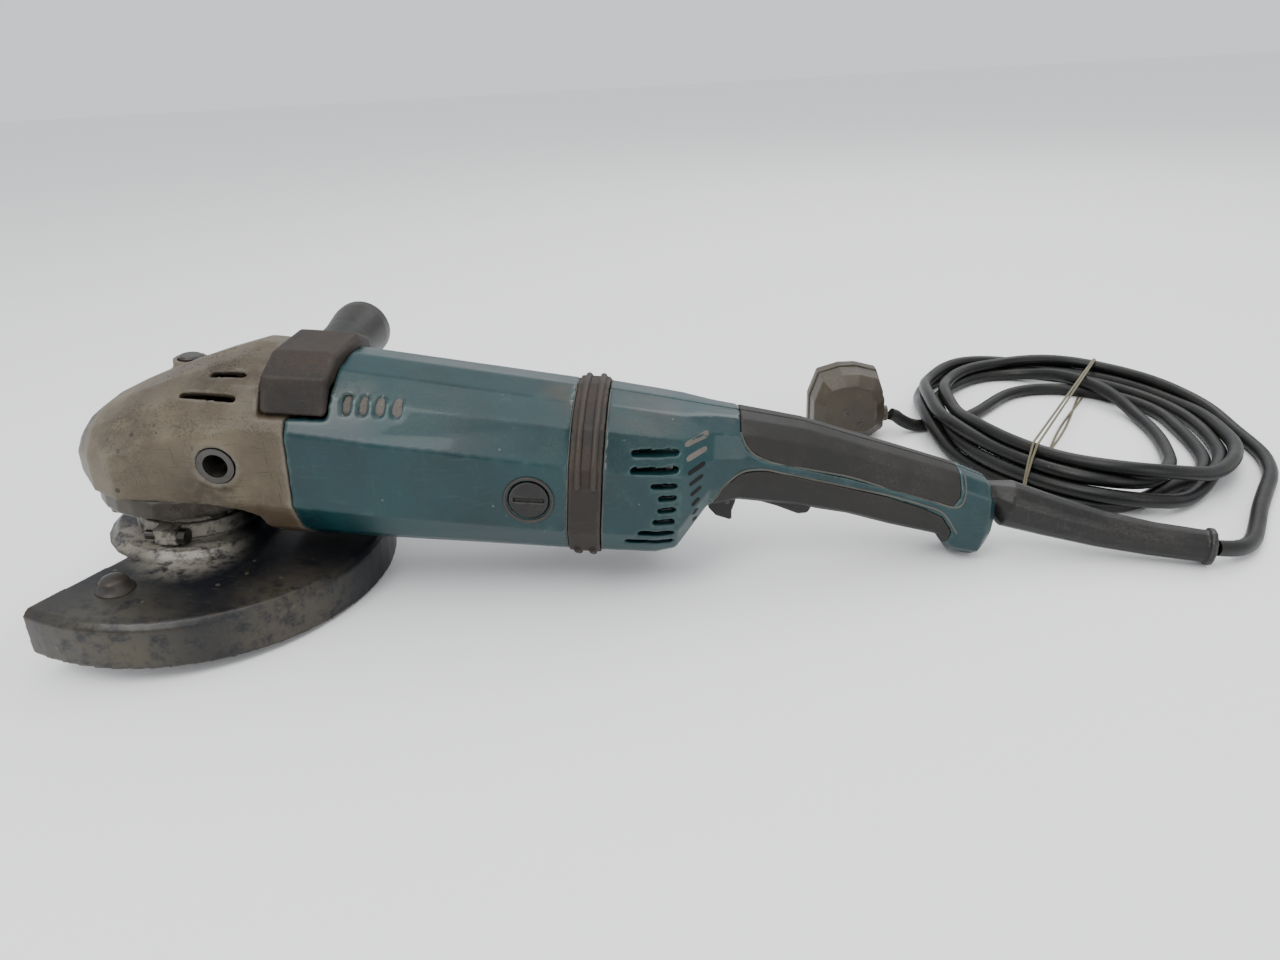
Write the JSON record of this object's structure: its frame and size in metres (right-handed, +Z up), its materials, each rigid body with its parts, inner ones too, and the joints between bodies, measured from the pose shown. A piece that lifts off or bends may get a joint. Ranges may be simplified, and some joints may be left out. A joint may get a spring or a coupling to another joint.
{
  "type": "angle grinder",
  "caption": "Large two-handed angle grinder with half guard, side handle, rear trigger handle and a mains lead tied in a hank.",
  "frame": {"origin": "on the ground, under the middle of the box round the grinder and its side handle", "axes": "+X towards the tail handle, +Y towards the side handle, +Z up; the grinder stands on its guard and its tail hook"},
  "size_m": [0.6816, 0.3827, 0.1335],
  "materials": {
    "enamel": "worn beige enamel on cast aluminium",
    "cast": "dull cast aluminium with dust",
    "teal": "moulded teal plastic, scuffed",
    "rubber": "black rubber",
    "grip": "worn dark soft grip",
    "black_plastic": "black moulded plastic",
    "guard": "black enamel with dust and rust at the rim",
    "steel": "bright machined steel",
    "iron": "laminated iron and windings",
    "brass": "brass",
    "carbon": "carbon",
    "band": "tan elastic band",
    "plug": "dusty brown plug plastic"
  },
  "bodies": {
    "armature": {"armature_shaft": "steel", "armature_core": "iron", "commutator": "brass", "cooling_fan": "black_plastic", "pinion": "steel"},
    "spindle": {"spindle": "steel", "bevel_gear": "steel", "inner_flange": "steel", "lock_nut": "steel"},
    "guard": {"guard": "guard", "guard_band": "steel", "guard_screw": "steel"},
    "shaft_lock": {"shaft_lock_button": "black_plastic"},
    "trigger": {"trigger": "black_plastic"},
    "lock_off_lever": {"lock_off_lever": "black_plastic"},
    "housing": {"gear_case": "enamel", "bearing_box": "cast", "bearing_box_screw_1": "steel", "bearing_box_screw_2": "steel", "bearing_box_screw_3": "steel", "bearing_box_screw_4": "steel", "spindle_bearing": "steel", "needle_bearing": "steel", "front_bearing": "steel", "rear_bearing": "steel", "handle_bush_left": "steel", "handle_bush_right": "steel", "top_bumper": "rubber", "motor_housing": "teal", "housing_band": "rubber", "fan_baffle": "black_plastic", "stator": "iron", "brush_holder_left": "brass", "brush_holder_right": "brass", "carbon_brush_left": "carbon", "carbon_brush_right": "carbon", "brush_cap_left": "black_plastic", "brush_cap_right": "black_plastic", "handle_left": "teal", "handle_right": "teal", "upper_grip_left": "grip", "upper_grip_right": "grip", "lower_grip_left": "grip", "lower_grip_right": "grip", "switch_body": "black_plastic", "speed_controller": "black_plastic", "lever_pin": "steel", "side_handle_grip": "rubber", "side_handle_stud": "steel", "cord_guard": "rubber", "cord_lead": "rubber", "cord_to_plug": "rubber", "cord_hank": "rubber", "hank_tie": "band", "plug_base": "plug", "plug_cover": "plug"}
  },
  "joints": [
    {"name": "armature_spin", "type": "hinge", "parent": "housing", "child": "armature", "pos_m": [-0.18475, -0.0405, 0.0814], "axis": [0.9948, 0, -0.1017], "continuous": true},
    {"name": "spindle_spin", "type": "hinge", "parent": "housing", "child": "spindle", "pos_m": [-0.18475, -0.0405, 0.0814], "axis": [0.1017, 0, 0.9948], "continuous": true},
    {"name": "guard_turn", "type": "hinge", "parent": "housing", "child": "guard", "pos_m": [-0.18983, -0.0405, 0.03166], "axis": [0.1017, 0, 0.9948], "range_deg": [-60, 60]},
    {"name": "shaft_lock_press", "type": "slide", "parent": "housing", "child": "shaft_lock", "axis": [-0.1017, 0, -0.9948], "range_m": [0, 0.004], "stiffness_N_per_m": 800, "springref_m": -0.002},
    {"name": "trigger_squeeze", "type": "hinge", "parent": "housing", "child": "trigger", "pos_m": [0.11, -0.0405, 0.04424], "axis": [0, -1, 0], "range_deg": [0, 7], "stiffness_Nm_per_rad": 2, "springref_deg": -5.16},
    {"name": "lever_push", "type": "hinge", "parent": "housing", "child": "lock_off_lever", "pos_m": [0.0973, -0.0405, 0.038], "axis": [0, -1, 0], "range_deg": [0, 15], "stiffness_Nm_per_rad": 0.3, "springref_deg": -8.02}
  ],
  "couplings": [
    {"joint": "spindle_spin", "follows": "armature_spin", "ratio": 0.25}
  ]
}
